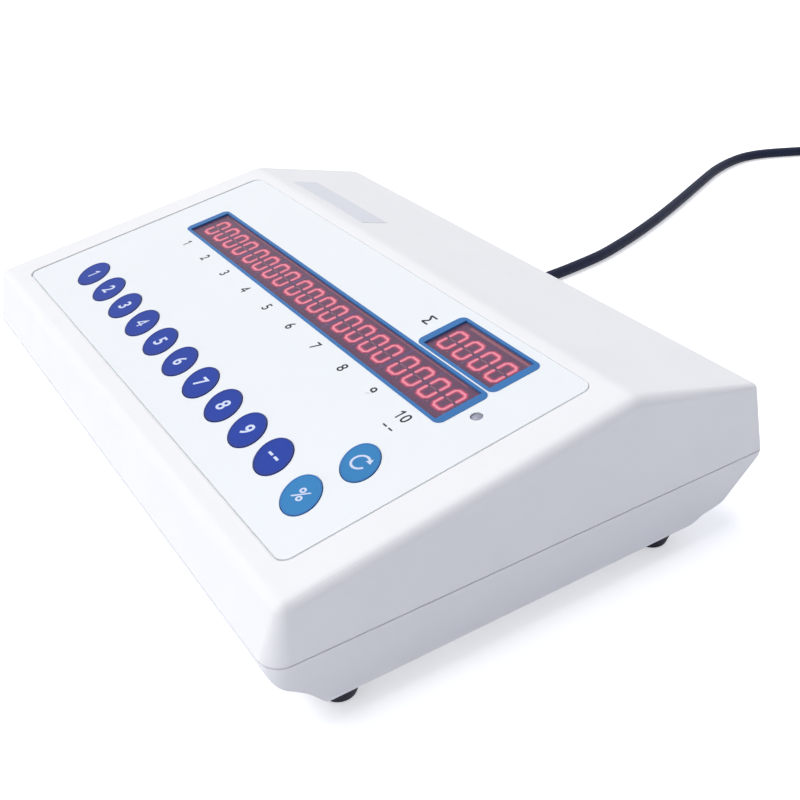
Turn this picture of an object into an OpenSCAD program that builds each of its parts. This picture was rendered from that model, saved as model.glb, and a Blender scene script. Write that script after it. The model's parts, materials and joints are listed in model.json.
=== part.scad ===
// Differential cell counter: bench-top wedge console with twelve sprung
// oval keys, a twenty-digit count display and a four-digit sum display.
// Millimetres, +Z up, operator side at -Y, origin on the bench under the
// centre of the case.

/* [Case] */
// Width of the case at its parting line
case_w = 289; // [280:0.5:300]
// Depth of the case at its parting line
case_d = 211; // [205:0.5:220]
// Height of the parting line above the bench
part_z = 34.2; // [32:0.1:37]
// Height of the upper front edge above the bench
front_h = 56; // [54:0.1:60]
// Wall thickness of both shells
wall = 3; // [2.8:0.1:3.2]
// Radius of the outer upper edges
edge_r = 4.5; // [4:0.1:6]
// Radius of the ridge between the panel and the roof
ridge_r = 12; // [10:0.5:18]
// Radius of the two front corners at the parting line
corner_r = 8; // [7:0.5:10]
// Radius of the two rear corners and of the rear upper edge
rear_r = 2.5; // [2:0.1:5]
// Radius of the lower side edges of the tray
tray_r = 6; // [5:0.5:10]
// How far the front wall leans back up to the panel
front_lean = 5.5; // [4:0.1:7]
// How far the rear wall leans in up to the roof
rear_lean = 7.8; // [6:0.1:9]
// Inward draft of each side wall up to the ridge
side_lean = 1.6; // [1:0.1:2.4]

/* [Panel] */
// Slope of the control panel in degrees
panel_slope = 9.75; // [9:0.05:10.5]
// Length of the panel from the front edge to the ridge
panel_len = 139; // [137:0.5:142]
// Fall of the roof behind the ridge in degrees
roof_fall = 13.9; // [12:0.1:16]
// Flat margin in front of the recess
margin_f = 8.8; // [8:0.1:10]
// Width of the recess for the overlay
recess_w = 255.2; // [252:0.2:258]
// Length of the recess up the slope
recess_l = 124.2; // [123:0.1:126]
// Corner radius of the recess
recess_r = 5; // [4:0.5:8]
// Depth of the recess
recess_t = 1.4; // [1.3:0.05:1.5]
// Thickness of the overlay sheet
sheet_t = 1.2; // [1:0.05:1.25]
// Gap between the overlay and the recess wall in front and at the sides
sheet_gap = 0.9; // [0.6:0.05:1.2]
// Gap between the overlay and the recess wall at the back
sheet_back = 0.1; // [0.05:0.05:0.3]
// Thickness of the window films
film_t = 0.5; // [0.4:0.05:0.8]

/* [Keys] */
// Spacing of the ten count keys
key_pitch = 20; // [19.6:0.1:20.4]
// Half length of a key oval
key_a = 9.7; // [9:0.1:10]
// Half width of a key oval
key_b = 6.7; // [6:0.1:7]
// Tilt of the key ovals in degrees
key_tilt = 45; // [35:1:55]
// Height of the key tops above the overlay
key_proud = 0.25; // [0.15:0.05:0.35]
// Travel of a key when it is pressed
key_travel = 0.5; // [0.4:0.05:0.6]
// Running gap around a key
key_gap = 0.3; // [0.25:0.05:0.4]

/* [Displays] */
// Spacing of two digits
digit_pitch = 10.16; // [10:0.02:10.2]
// Height of the display modules up the slope
module_h = 18.4; // [17.5:0.1:18.6]
// Depth of the display modules
module_t = 7; // [6.5:0.1:7.5]
// Free width in the opening around the ten modules of the long display
long_free = 4.2; // [3.8:0.1:5]
// Free width in the opening around the two modules of the sum display
sum_free = 1.5; // [1.4:0.1:2]
// How far each film reaches past the sides of its opening
film_lap = 1.05; // [0.8:0.05:1.3]
// How far each window frame reaches past the sides of its film
frame_lap = 1.8; // [1.5:0.1:2.2]
// Side band of the window frames
band_x = 3.4; // [3:0.1:3.6]
// Upper and lower band of the window frames
band_y = 1.4; // [1.3:0.1:1.6]

/* [Feet and lead] */
// Radius of a foot where it meets the tray
foot_r = 8.5; // [7.5:0.1:9]
// Height of the feet
foot_h = 7.8; // [7:0.1:8.5]
// Distance of the foot centres from the sides of the case
foot_inset = 13.5; // [12:0.5:16]
// Diameter of the mains lead
lead_d = 6.4; // [6.2:0.05:6.6]
// Sideways place of the lead entry
lead_x = -71; // [-74:0.5:-68]
// Outer radius of the lead entry boss on the tray
entry_r = 9; // [8.5:0.1:9.5]

/* [Hidden] */

// Case profile in side view, from the sizes above
front_y = -case_d / 2 + front_lean;
ridge_y = front_y + panel_len * cos(panel_slope);
ridge_z = front_h + panel_len * sin(panel_slope);
rear_y = case_d / 2 - rear_lean;
rear_z = ridge_z - (rear_y - ridge_y) * tan(roof_fall);
front_rise = front_h - part_z;
rear_rise = rear_z - part_z;
rear_tip = atan(rear_lean / rear_rise);

// Panel frame: its origin is the middle of the recess front edge
pan_y = front_y + margin_f * cos(panel_slope);
pan_z = front_h + margin_f * sin(panel_slope);

// Stack under the panel surface, measured along the panel normal
deck_floor = -recess_t;
sheet_top = -recess_t + sheet_t;
deck_under = -wall;
module_top = deck_floor - 0.3;
board_top = module_top - module_t;
board_t = 1.6;
board_under = board_top - board_t;

// Display windows: opening in the deck round the modules, film over it, frame over the film
pair_w = 2 * digit_pitch;
module_w = pair_w - 0.22;
digit_rise = 0.7;
long_open = 10 * pair_w + long_free;
sum_open = 2 * pair_w + sum_free;
open_h = module_h + 2 * digit_rise + 0.7;
film_h = open_h + 0.9;
frame_h = film_h + 1.4;
film_gap = 0.3;
long_w = long_open + 2 * (film_lap + frame_lap);
sum_w = sum_open + 2 * (film_lap + frame_lap);
long_x = -0.5;
long_v = 84.6;
sum_x = long_x + (long_w - sum_w) / 2 - 0.45;
sum_v = long_v + frame_h + 0.8;
row_x = long_x + 0.2;
sum_row_x = sum_x - 0.6;
led_x = long_x + long_w / 2 + 5.55;
led_v = long_v + 0.9;
led_r = 2;

// Key places
row_v = 23.2;
side_x = 4 * key_pitch + 24;
percent_v = row_v - 2.5;
reset_v = percent_v + 22.7;
flange = 0.8;
stem_r = 1.7;
stem_in = 0.8;
switch_h = 3.4;
KEYS = concat([for (i = [0:9]) [(i - 5) * key_pitch, row_v]],
              [[side_x, percent_v], [side_x, reset_v]]);

// Board fixings beside the long window, and case posts inside the side walls
board_x = long_w / 2 + 3.7;
board_back = recess_l - 8.2;
POSTS = [[-board_x, 8], [board_x, 6], [-board_x, board_back], [board_x, board_back],
         [-40, 52], [40, 52]];
post_x = case_w / 2 - 11;
CASE_POSTS = [[-post_x, -52], [post_x, -52], [-post_x, 40], [post_x, 40]];
post_r = 4.5;
lip_h = 2.2;
lip_gap = 0.3;
lip_t = 1.4;

// Tray profile
tray_z = foot_h;
fy = -case_d / 2;
ry = case_d / 2;
drop = part_z - tray_z;
foot_x = case_w / 2 - foot_inset;
foot_fy = fy + 29.5;
foot_ry = ry - 41.3;

// ---------- helpers ----------

function cr(a, b, c, d, t) =
  0.5 * (2 * b + (c - a) * t + (2 * a - 5 * b + 4 * c - d) * t * t
         + (3 * b - a - 3 * c + d) * t * t * t);

function smooth(P, n) = concat(
  [for (i = [0:len(P) - 2]) for (k = [0:n - 1])
    cr(P[max(i - 1, 0)], P[i], P[i + 1], P[min(i + 2, len(P) - 1)], k / n)],
  [P[len(P) - 1]]);

// Centre of a circle of radius r that touches both sides of a corner
function inset(v, na, nb, r) = v - r * (na + nb) / (1 + na * nb);

function unit(v) = v / norm(v);

module on_panel() {
  translate([0, pan_y, pan_z]) rotate([panel_slope, 0, 0]) children();
}

// Local z is the outward normal of the rear wall, local y points down
module on_rear(x, z) {
  translate([x, ry - rear_lean * (z - part_z) / rear_rise, z])
    rotate([rear_tip - 90, 0, 0]) children();
}

module round_rect(w, h, r) {
  square([w - 2 * r, h], center = true);
  square([w, h - 2 * r], center = true);
  for (sx = [-1, 1])
    for (sy = [-1, 1])
      translate([sx * (w / 2 - r), sy * (h / 2 - r)]) circle(r = r, $fn = 40);
}

module oval(a, b) {
  rotate(-key_tilt)
    polygon([for (i = [0:35]) [a * cos(i * 10), b * sin(i * 10)]]);
}

// ---------- case ----------

n_panel = [-sin(panel_slope), cos(panel_slope)];
n_roof = [sin(roof_fall), cos(roof_fall)];
n_front = unit([-front_rise, front_lean]);
n_rear = unit([rear_rise, rear_lean]);
c_front = inset([front_y, front_h], n_front, n_panel, edge_r);
c_ridge = inset([ridge_y, ridge_z], n_panel, n_roof, ridge_r);

function c_rear(r) = inset([rear_y, rear_z], n_roof, n_rear, r);

function half_w(z) = case_w / 2 - side_lean * (z - part_z) / (ridge_z - part_z);

// The sharper rear radius, before a wall of thickness t is taken off it
function rear_round(t) = max(rear_r, t > 0 ? t + 0.5 : 0);

// Four upright corner rounds of the case, shrunk by t, from height z up by h
module corner_rounds(t, z, h) {
  rr = rear_round(t);
  for (s = [-1, 1]) {
    translate([s * (case_w / 2 - corner_r), corner_r - case_d / 2, z])
      cylinder(r = corner_r - t, h = h, $fn = 48);
    translate([s * (case_w / 2 - rr), case_d / 2 - rr, z])
      cylinder(r = rr - t, h = h, $fn = 32);
  }
}

// Wedge body shrunk by t on every side
module wedge(t) {
  rr = rear_round(t);
  back = c_rear(rr);
  hull() {
    for (s = [-1, 1]) {
      translate([s * (half_w(c_front[1]) - edge_r), c_front[0], c_front[1]])
        sphere(r = edge_r - t, $fn = 32);
      translate([s * (half_w(back[1]) - rr), back[0], back[1]])
        sphere(r = rr - t, $fn = 24);
      translate([s * (half_w(c_ridge[1]) - edge_r), c_ridge[0], c_ridge[1]])
        rotate([0, 90, 0])
          rotate_extrude($fn = 48)
            translate([ridge_r - edge_r, 0]) circle(r = edge_r - t, $fn = 24);
    }
    corner_rounds(t, t > 0 ? part_z - 1 : part_z, t > 0 ? 1.05 : 0.05);
  }
}

// Tray side view: stands on tray_z, bellied front, chamfered rear
module tray_outline(up) {
  front = [[fy, part_z], [fy + 0.1, part_z - 0.06 * drop],
           [fy + 1.7, part_z - 0.21 * drop], [fy + 4, part_z - 0.32 * drop],
           [fy + 8.5, part_z - 0.44 * drop], [fy + 12.5, part_z - 0.57 * drop],
           [fy + 16.4, part_z - 0.74 * drop], [fy + 19.6, part_z - 0.9 * drop],
           [fy + 22.5, tray_z + 0.4], [fy + 25, tray_z]];
  rear = [[ry - 40, tray_z], [ry - 37.5, tray_z + 0.3], [ry - 34.5, tray_z + 0.06 * drop],
          [ry - 31.5, tray_z + 0.15 * drop], [ry - 28, tray_z + 0.23 * drop],
          [ry - 23, tray_z + 0.26 * drop], [ry - 18.5, tray_z + 0.3 * drop]];
  chamfer = [[ry - 17, tray_z + 0.33 * drop], [ry - 2.5, tray_z + 0.89 * drop],
             [ry - 0.6, tray_z + 0.93 * drop], [ry, tray_z + 0.97 * drop], [ry, part_z]];
  polygon(concat(smooth(front, 3), smooth(rear, 3), chamfer,
                 up > 0 ? [[ry, part_z + up], [fy, part_z + up]] : []));
}

module tray_sides(t, up) {
  hull() {
    corner_rounds(t, part_z - 0.4, 0.4 + up);
    for (s = [-1, 1])
      for (f = [-1, 1])
        translate([s * (case_w / 2 - 1 - tray_r), f * (case_d / 2 - tray_r),
                   tray_z + tray_r])
          sphere(r = tray_r - t, $fn = 40);
  }
}

module tray_solid(t, up) {
  intersection() {
    rotate([90, 0, 90])
      translate([0, 0, -case_w / 2 - 1])
        linear_extrude(case_w + 2) offset(delta = -t) tray_outline(up);
    tray_sides(t, up);
  }
}

module upper_shell() {
  color([0.93, 0.94, 0.95]) {
    difference() {
      wedge(0);
      wedge(wall);
      on_panel() {
        translate([0, recess_l / 2, deck_floor])
          linear_extrude(recess_t + 3) round_rect(recess_w, recess_l, recess_r);
        translate([long_x, long_v, -8])
          linear_extrude(8) square([long_open, open_h], center = true);
        translate([sum_x, sum_v, -8])
          linear_extrude(8) square([sum_open, open_h], center = true);
        translate([led_x, led_v, -8]) cylinder(r = led_r + 0.3, h = 9, $fn = 32);
        for (k = KEYS)
          translate([k[0], k[1], -8])
            linear_extrude(9) oval(key_a + key_gap, key_b + key_gap);
      }
      on_rear(switch_x, panel_z)
        translate([0, 0, -4]) linear_extrude(5) square([19.8, 13.4], center = true);
      on_rear(fuse_x, panel_z) translate([0, 0, -5]) cylinder(r = 6.3, h = 6, $fn = 48);
      parting_groove(1);
    }
    on_panel()
      for (p = POSTS)
        translate([p[0], p[1], board_top])
          difference() {
            cylinder(r = 3.5, h = deck_under - board_top + 0.4, $fn = 32);
            translate([0, 0, -1]) cylinder(r = 1.2, h = 5.5, $fn = 24);
          }
    intersection() {
      wedge(wall - 0.4);
      for (p = CASE_POSTS)
        translate([p[0], p[1], part_z])
          difference() {
            cylinder(r = post_r, h = 60, $fn = 40);
            translate([0, 0, -1]) cylinder(r = 1.3, h = 13, $fn = 24);
          }
    }
  }
}

// Shadow groove of the parting line, upper half (s = 1) or lower half (s = -1)
module parting_groove(s) {
  translate([0, 0, s > 0 ? part_z - 0.5 : part_z - 0.35])
    linear_extrude(s > 0 ? 0.85 : 0.85)
      difference() {
        square([case_w + 4, case_d + 4], center = true);
        polygon(case_plan(0.45));
      }
}

// Quarter circle about c, starting at angle a
function quarter(c, r, a) = [for (i = [0:8])
  [c[0] + r * cos(a + i * 11.25), c[1] + r * sin(a + i * 11.25)]];

// Plan of the case at its parting line, shrunk by t
function case_plan(t) =
  let (fx = case_w / 2 - corner_r, cy = corner_r - case_d / 2,
       rx = case_w / 2 - rear_r, by = case_d / 2 - rear_r)
    concat(quarter([rx, by], rear_r - t, 0), quarter([-rx, by], rear_r - t, 90),
           quarter([-fx, cy], corner_r - t, 180), quarter([fx, cy], corner_r - t, 270));

switch_x = 62;
fuse_x = 18;
panel_z = part_z + 0.5 * rear_rise;

// Lead entry: a round boss on the chamfer of the tray, pointing slightly down
entry_tip = 15;
entry_y = ry - 3.5;
entry_z = tray_z + 0.62 * drop;
entry_l = 15;

module on_entry() {
  translate([lead_x, entry_y, entry_z]) rotate([-90 - entry_tip, 0, 0]) children();
}

module lower_shell() {
  lip_w = case_w - 2 * (wall + lip_gap);
  lip_d = case_d - 2 * (wall / cos(rear_tip) + lip_gap + 0.3 * lip_h);
  color([0.82, 0.83, 0.86])
    difference() {
      union() {
        difference() {
          tray_solid(0, 0);
          tray_solid(wall, 6);
        }
        on_entry() translate([0, 0, -entry_l]) cylinder(r = entry_r, h = entry_l, $fn = 56);
        for (fx = [-foot_x, foot_x])
          for (y = [foot_fy, foot_ry])
            translate([fx, y, tray_z]) cylinder(r = foot_r + 0.3, h = wall + 3.5, $fn = 48);
        intersection() {
          tray_solid(wall - 0.5, 6);
          union() {
            for (p = CASE_POSTS)
              translate([p[0], p[1], tray_z]) cylinder(r = post_r, h = drop, $fn = 40);
            for (p = MAIN_POSTS)
              translate([p[0], p[1], tray_z]) cylinder(r = 3, h = main_z - tray_z, $fn = 32);
            for (x = [-60, -20, 20, 60])
              translate([x - 0.8, -88, tray_z]) cube([1.6, 150, wall + 1.5]);
            translate([-110, -46, tray_z]) cube([220, 1.6, wall + 1.5]);
            translate([-110, 20, tray_z]) cube([220, 1.6, wall + 1.5]);
            translate([core_x - core_w / 2 - 6, core_y - 14, tray_z])
              cube([core_w + 12, 28, core_z - tray_z]);
          }
        }
        difference() {
          union() {
            translate([0, 0, part_z - 3])
              linear_extrude(3)
                round_rect(case_w - 2 * wall + 1, case_d - 2 * wall + 1, corner_r - wall + 0.5);
            translate([0, 0, part_z - 0.5])
              linear_extrude(lip_h + 0.5) round_rect(lip_w, lip_d, corner_r - wall - lip_gap);
          }
          translate([0, 0, part_z - 4])
            linear_extrude(lip_h + 5)
              round_rect(lip_w - 2 * lip_t, lip_d - 2 * lip_t, corner_r - wall - 1);
        }
      }
      on_entry() translate([0, 0, -entry_l - 5]) cylinder(r = 5.1, h = entry_l + 9, $fn = 48);
      for (p = CASE_POSTS)
        translate([p[0], p[1], tray_z - 1]) {
          cylinder(r = 1.8, h = drop + 3, $fn = 24);
          cylinder(r = 3.4, h = drop - 8, $fn = 32);
        }
      for (p = MAIN_POSTS)
        translate([p[0], p[1], tray_z + 4]) cylinder(r = 1.2, h = 30, $fn = 24);
      for (fx = [-foot_x, foot_x])
        for (y = [foot_fy, foot_ry])
          translate([fx, y, tray_z - 1]) cylinder(r = 2.3, h = 8, $fn = 24);
      parting_groove(-1);
    }
}

// Screws that hold the two shells together, heads deep in the tray
module case_screws() {
  color([0.7, 0.7, 0.72])
    for (p = CASE_POSTS)
      translate([p[0], p[1], part_z - 9]) {
        translate([0, 0, -2.2])
          difference() {
            cylinder(r = 2.9, h = 2.2, $fn = 32);
            for (a = [0, 90])
              rotate(a) translate([-1.8, -0.35, -1]) cube([3.6, 0.7, 2]);
          }
        cylinder(r = 1, h = 19, $fn = 24);
      }
}

// ---------- panel sheet, windows and keys ----------

module overlay() {
  color([0.94, 0.96, 0.97])
    on_panel()
      translate([0, 0, deck_floor])
        linear_extrude(sheet_t)
          difference() {
            translate([0, (recess_l + sheet_gap - sheet_back) / 2])
              round_rect(recess_w - 2 * sheet_gap, recess_l - sheet_gap - sheet_back,
                         recess_r - sheet_gap);
            translate([long_x, long_v])
              square([long_open + 2 * (film_lap + film_gap), film_h + 2 * film_gap], center = true);
            translate([sum_x, sum_v])
              square([sum_open + 2 * (film_lap + film_gap), film_h + 2 * film_gap], center = true);
            translate([led_x, led_v]) circle(r = led_r + 0.3, $fn = 32);
            for (k = KEYS)
              translate([k[0], k[1]]) oval(key_a + key_gap, key_b + key_gap);
          }
}

module window_frame(x, v, w) {
  color([0.26, 0.48, 0.7])
    on_panel()
      translate([x, v, sheet_top])
        linear_extrude(0.2)
          difference() {
            round_rect(w, frame_h, 3);
            square([w - 2 * band_x, frame_h - 2 * band_y], center = true);
          }
}

module frame_long() {
  window_frame(long_x, long_v, long_w);
}

module frame_sum() {
  window_frame(sum_x, sum_v, sum_w);
}

module film(x, v, w) {
  color([0.5, 0.2, 0.3, 0.6])
    on_panel()
      translate([x, v, deck_floor])
        linear_extrude(film_t) square([w + 2 * film_lap, film_h], center = true);
}

module film_long() {
  film(long_x, long_v, long_open);
}

module film_sum() {
  film(sum_x, sum_v, sum_open);
}

// One key: oval cap, hidden retaining flange and stem, drawn in place
module key(i, tint) {
  color(tint)
    on_panel()
      translate([KEYS[i][0], KEYS[i][1], 0]) {
        translate([0, 0, deck_under - key_gap])
          linear_extrude(sheet_top + key_proud - deck_under + key_gap) oval(key_a, key_b);
        translate([0, 0, deck_under - key_gap - flange])
          linear_extrude(flange) oval(key_a + flange, key_b + flange);
        translate([0, 0, board_top + switch_h - stem_in])
          cylinder(r = stem_r, h = deck_under - key_gap - flange - board_top - switch_h
                                   + stem_in + 0.4, $fn = 24);
      }
}

dark_blue = [0.2, 0.3, 0.62];
light_blue = [0.3, 0.55, 0.78];

module key_1() { key(0, dark_blue); }
module key_2() { key(1, dark_blue); }
module key_3() { key(2, dark_blue); }
module key_4() { key(3, dark_blue); }
module key_5() { key(4, dark_blue); }
module key_6() { key(5, dark_blue); }
module key_7() { key(6, dark_blue); }
module key_8() { key(7, dark_blue); }
module key_9() { key(8, dark_blue); }
module key_10() { key(9, dark_blue); }
module key_percent() { key(10, light_blue); }
module key_reset() { key(11, light_blue); }

// ---------- display electronics ----------

// Two-digit module with its digit faces let in and its row of pins
module digit_pair(x, v) {
  color([0.35, 0.1, 0.14])
    on_panel()
      translate([x, v, board_top]) {
        difference() {
          linear_extrude(module_t) square([module_w, module_h], center = true);
          for (s = [-1, 1])
            translate([s * digit_pitch / 2, 0, module_t - 0.3])
              linear_extrude(1) square([8.4, 13.6], center = true);
        }
        for (s = [-1, 1])
          translate([s * digit_pitch / 2, 0, module_t - 0.4])
            linear_extrude(0.2)
              difference() {
                square([7.2, 12.4], center = true);
                for (q = [-1, 1])
                  translate([0, q * 2.9]) square([4.4, 4.3], center = true);
              }
      }
}

module module_at(i) { digit_pair(row_x + (i - 5.5) * pair_w, long_v + digit_rise); }
module module_1() { module_at(1); }
module module_2() { module_at(2); }
module module_3() { module_at(3); }
module module_4() { module_at(4); }
module module_5() { module_at(5); }
module module_6() { module_at(6); }
module module_7() { module_at(7); }
module module_8() { module_at(8); }
module module_9() { module_at(9); }
module module_10() { module_at(10); }
module module_sum_1() { digit_pair(sum_row_x - pair_w / 2, sum_v + digit_rise); }
module module_sum_2() { digit_pair(sum_row_x + pair_w / 2, sum_v + digit_rise); }

module status_led() {
  color([0.7, 0.7, 0.75])
    on_panel()
      translate([led_x, led_v, board_top]) {
        cylinder(r = 2.6, h = 1.2, $fn = 32);
        cylinder(r = led_r, h = sheet_top - board_top - led_r * 0.3, $fn = 32);
        translate([0, 0, sheet_top - board_top - led_r * 0.3])
          intersection() {
            translate([0, 0, -led_r * 1.37]) sphere(r = led_r * 1.7, $fn = 32);
            cylinder(r = led_r, h = 3, $fn = 32);
          }
      }
}

// Switch under each key: its bore takes the stem and the travel, and ends just below
module key_switches() {
  bore = stem_in + key_travel + 0.2;
  color([0.12, 0.12, 0.13])
    on_panel()
      for (k = KEYS)
        translate([k[0], k[1], board_top])
          difference() {
            translate([-3, -3, 0]) cube([6, 6, switch_h]);
            translate([0, 0, switch_h - bore]) cylinder(r = stem_r + 0.3, h = bore + 1, $fn = 24);
          }
}

module display_board() {
  color([0.1, 0.36, 0.2])
    on_panel()
      translate([0, 0, board_under])
        linear_extrude(board_t)
          difference() {
            translate([-board_x - 4.25, 2]) square([2 * board_x + 8.5, board_back + 3]);
            for (p = POSTS)
              translate([p[0], p[1]]) circle(r = 1.6, $fn = 24);
          }
}

chip_l = 24;
chip_pitch = 38;
chip_v = 60;

// Display drivers under the display board
module driver_chips() {
  color([0.1, 0.1, 0.11])
    on_panel()
      translate([0, 0, board_under - 4])
        for (i = [0:4])
          translate([(i - 2) * chip_pitch - chip_l / 2 - 4, chip_v, 0])
            linear_extrude(4) square([chip_l, 7]);
}

module board_screws() {
  color([0.75, 0.75, 0.77])
    on_panel()
      for (p = POSTS)
        translate([p[0], p[1], board_under]) {
          translate([0, 0, -2]) cylinder(r = 2.8, h = 2, $fn = 32);
          cylinder(r = 0.9, h = board_t + 3, $fn = 24);
        }
}

// ---------- main board and mains parts ----------

main_z = tray_z + wall + 5;
main_t = 1.6;
main_top = main_z + main_t;
main_w = 140;
main_d = 82;
main_c = [-31, -30];
MAIN_POSTS = [for (sx = [-1, 1]) for (sy = [-1, 1])
  main_c + [sx * (main_w / 2 - 5), sy * (main_d / 2 - 5)]];

module main_board() {
  color([0.1, 0.36, 0.2])
    translate([0, 0, main_z])
      linear_extrude(main_t)
        difference() {
          translate(main_c) square([main_w, main_d], center = true);
          for (p = MAIN_POSTS)
            translate([p[0], p[1]]) circle(r = 1.5, $fn = 24);
        }
}

// Header sockets, regulator with its heat sink and small parts
module main_parts() {
  color([0.2, 0.2, 0.22])
    translate([0, 0, main_top]) {
      translate([header_x - header_w / 2, header_y - 4.5, 0])
        difference() {
          cube([header_w, 9, 9]);
          translate([1.5, 1.5, 2]) cube([header_w - 3, 6, 8]);
        }
      translate([12, -40, 0]) cube([14, 5, 16]);
      translate([12, -34, 0])
        for (i = [0:5])
          translate([0, i * 3, 0]) cube([18, 1.2, 20]);
      translate([12, -35.2, 0]) cube([18, 1.4, 20]);
      translate([-88, -20, 0]) cube([10, 22, 5]);
      for (i = [0:3])
        translate([-60 + i * 7, -60, 0]) cube([3, 9, 3]);
    }
}

header_x = -10;
header_y = 2;
header_w = 36;
ribbon_w = header_w - 10;
ribbon_v = 52;

module processor() {
  color([0.08, 0.08, 0.09])
    translate([-40, -38, main_top]) {
      cube([52, 14, 4.4]);
    }
}

module buzzer() {
  color([0.08, 0.08, 0.09])
    translate([-82, -48, main_top])
      difference() {
        cylinder(r = 6, h = 9.5, $fn = 40);
        translate([0, 0, 6]) cylinder(r = 1.2, h = 4, $fn = 24);
      }
}

module capacitor() {
  color([0.12, 0.16, 0.3])
    translate([0, -58, main_top]) {
      cylinder(r = 6.5, h = 22, $fn = 40);
      translate([16, 0, 0]) cylinder(r = 5, h = 16, $fn = 40);
    }
}

// Flat cable between the two boards: a bent strip, square at both ends
module ribbon() {
  // upper end under the display board, lower end in the main header
  top = [pan_y + ribbon_v * cos(panel_slope) - board_under * sin(panel_slope),
         pan_z + ribbon_v * sin(panel_slope) + board_under * cos(panel_slope)];
  down = [sin(panel_slope), -cos(panel_slope)];
  low = [header_y, main_top + 2];
  mid = [top + down * 4, top + down * 9, [-28, 40], [-14, 37], [-4, 35], [header_y - 1, 31],
         [low[0], low[1] + 7], [low[0], low[1] + 4]];
  line = concat([top + down * 0.01], smooth(mid, 4), [low + [0, 0.01]]);
  side = [for (i = [0:len(line) - 1])
    let (d = unit(line[min(i + 1, len(line) - 1)] - line[max(i - 1, 0)]))
      0.45 * [-d[1], d[0]]];
  color([0.6, 0.6, 0.63])
    rotate([90, 0, 90])
      translate([0, 0, header_x - ribbon_w / 2])
        linear_extrude(ribbon_w)
          polygon(concat([for (i = [0:len(line) - 1]) line[i] + side[i]],
                         [for (i = [len(line) - 1:-1:0]) line[i] - side[i]]));
}

core_w = 50;
core_x = case_w / 2 - 56.5;
core_y = 44;
core_z = tray_z + wall + 2;

module transformer_core() {
  color([0.45, 0.45, 0.48])
    translate([core_x, core_y, core_z])
      difference() {
        union() {
          translate([-core_w / 2, -10, 0.8]) cube([core_w, 20, 40]);
          translate([-core_w / 2 - 6, -9, 0]) cube([core_w + 12, 18, 0.8]);
        }
        for (s = [-1, 1])
          translate([s * 16.5 - 4.5, -11, 9]) cube([9, 22, 24]);
        for (s = [-1, 1])
          translate([s * (core_w / 2 + 3), 0, -1]) cylinder(r = 1.7, h = 4, $fn = 24);
      }
}

module transformer_coil() {
  color([0.75, 0.55, 0.2])
    translate([core_x, core_y, core_z + 9])
      difference() {
        translate([-20.6, -19, 0.4]) cube([41.2, 38, 23.2]);
        translate([-12, -10, -1]) cube([24, 20, 27]);
        for (s = [-1, 1])
          translate([s * 27.5 - 6.5, -10.4, -1]) cube([13, 20.8, 27]);
      }
}

// ---------- rear panel parts ----------

// Clear gap under the flanges that seat on the rear wall
seat_gap = 0.06;

module power_body() {
  color([0.08, 0.08, 0.09])
    on_rear(switch_x, panel_z)
      difference() {
        union() {
          translate([0, 0, seat_gap]) linear_extrude(1.5) round_rect(22.4, 16, 1.5);
          translate([0, 0, -15]) linear_extrude(15.5) square([19.2, 12.8], center = true);
          for (x = [-5, 5])
            translate([x - 0.4, -2.4, -22]) cube([0.8, 4.8, 7.5]);
        }
        translate([0, 0, -8]) linear_extrude(11) square([17.6, 11], center = true);
      }
}

rocker_tilt = 10;
rocker_depth = 3.4;

module power_rocker() {
  color([0.72, 0.1, 0.1])
    on_rear(switch_x, panel_z)
      translate([0, 5.2, -rocker_depth])
        rotate([90, 0, 0])
          linear_extrude(10.4)
            rotate(rocker_tilt)
              intersection() {
                circle(r = 8.5, $fn = 64);
                polygon([[-9, -3], [9, -3], [9, 4.9], [0, 3], [-9, 4.9]]);
              }
}

holder_lip = 1.1;

module fuse_holder() {
  color([0.08, 0.08, 0.09])
    on_rear(fuse_x, panel_z)
      difference() {
        union() {
          translate([0, 0, seat_gap]) cylinder(r = 8.5, h = holder_lip, $fn = 48);
          translate([0, 0, -30]) cylinder(r = 6, h = 30.5, $fn = 48);
          translate([0, 0, -wall - 3.2]) cylinder(r = 9, h = 3.2, $fn = 6);
          translate([-2, -0.4, -37]) cube([4, 0.8, 8]);
        }
        translate([0, 0, -27]) cylinder(r = 4.6, h = 34, $fn = 48);
      }
}

// Low turn cap with a coin slot; it clears the lip of its holder
module fuse_cap() {
  head = seat_gap + holder_lip + 0.1;
  color([0.1, 0.1, 0.11])
    on_rear(fuse_x, panel_z)
      difference() {
        union() {
          translate([0, 0, head]) cylinder(r = 6.2, h = 1.1, $fn = 48);
          translate([0, 0, -6.9]) cylinder(r = 4.3, h = 7 + head, $fn = 48);
        }
        translate([-0.7, -8, head + 0.5]) cube([1.4, 16, 3]);
      }
}

module fuse() {
  color([0.8, 0.82, 0.85])
    on_rear(fuse_x, panel_z)
      translate([0, 0, -27]) {
        cylinder(r = 2.6, h = 5, $fn = 32);
        translate([0, 0, 5]) cylinder(r = 2.4, h = 10, $fn = 32);
        translate([0, 0, 15]) cylinder(r = 2.6, h = 5, $fn = 32);
      }
}

// ---------- feet ----------

toe_r = 1.6;

module foot(x, y) {
  color([0.1, 0.11, 0.14])
    translate([x, y, 0]) {
      rotate_extrude($fn = 48)
        polygon(concat([[2.6, 0]],
                       [for (a = [-90:15:-15])
                         [foot_r - 3.6 + toe_r * cos(a), toe_r + toe_r * sin(a)]],
                       [[foot_r, foot_h], [0, foot_h], [0, 2.4], [2.6, 2.4]]));
      translate([0, 0, foot_h - 0.5]) cylinder(r = 2, h = 5, $fn = 24);
    }
}

module foot_fl() { foot(-foot_x, foot_fy); }
module foot_fr() { foot(foot_x, foot_fy); }
module foot_rl() { foot(-foot_x, foot_ry); }
module foot_rr() { foot(foot_x, foot_ry); }

// ---------- mains lead ----------

relief_l = 20;
lead_r = lead_d / 2;

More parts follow.
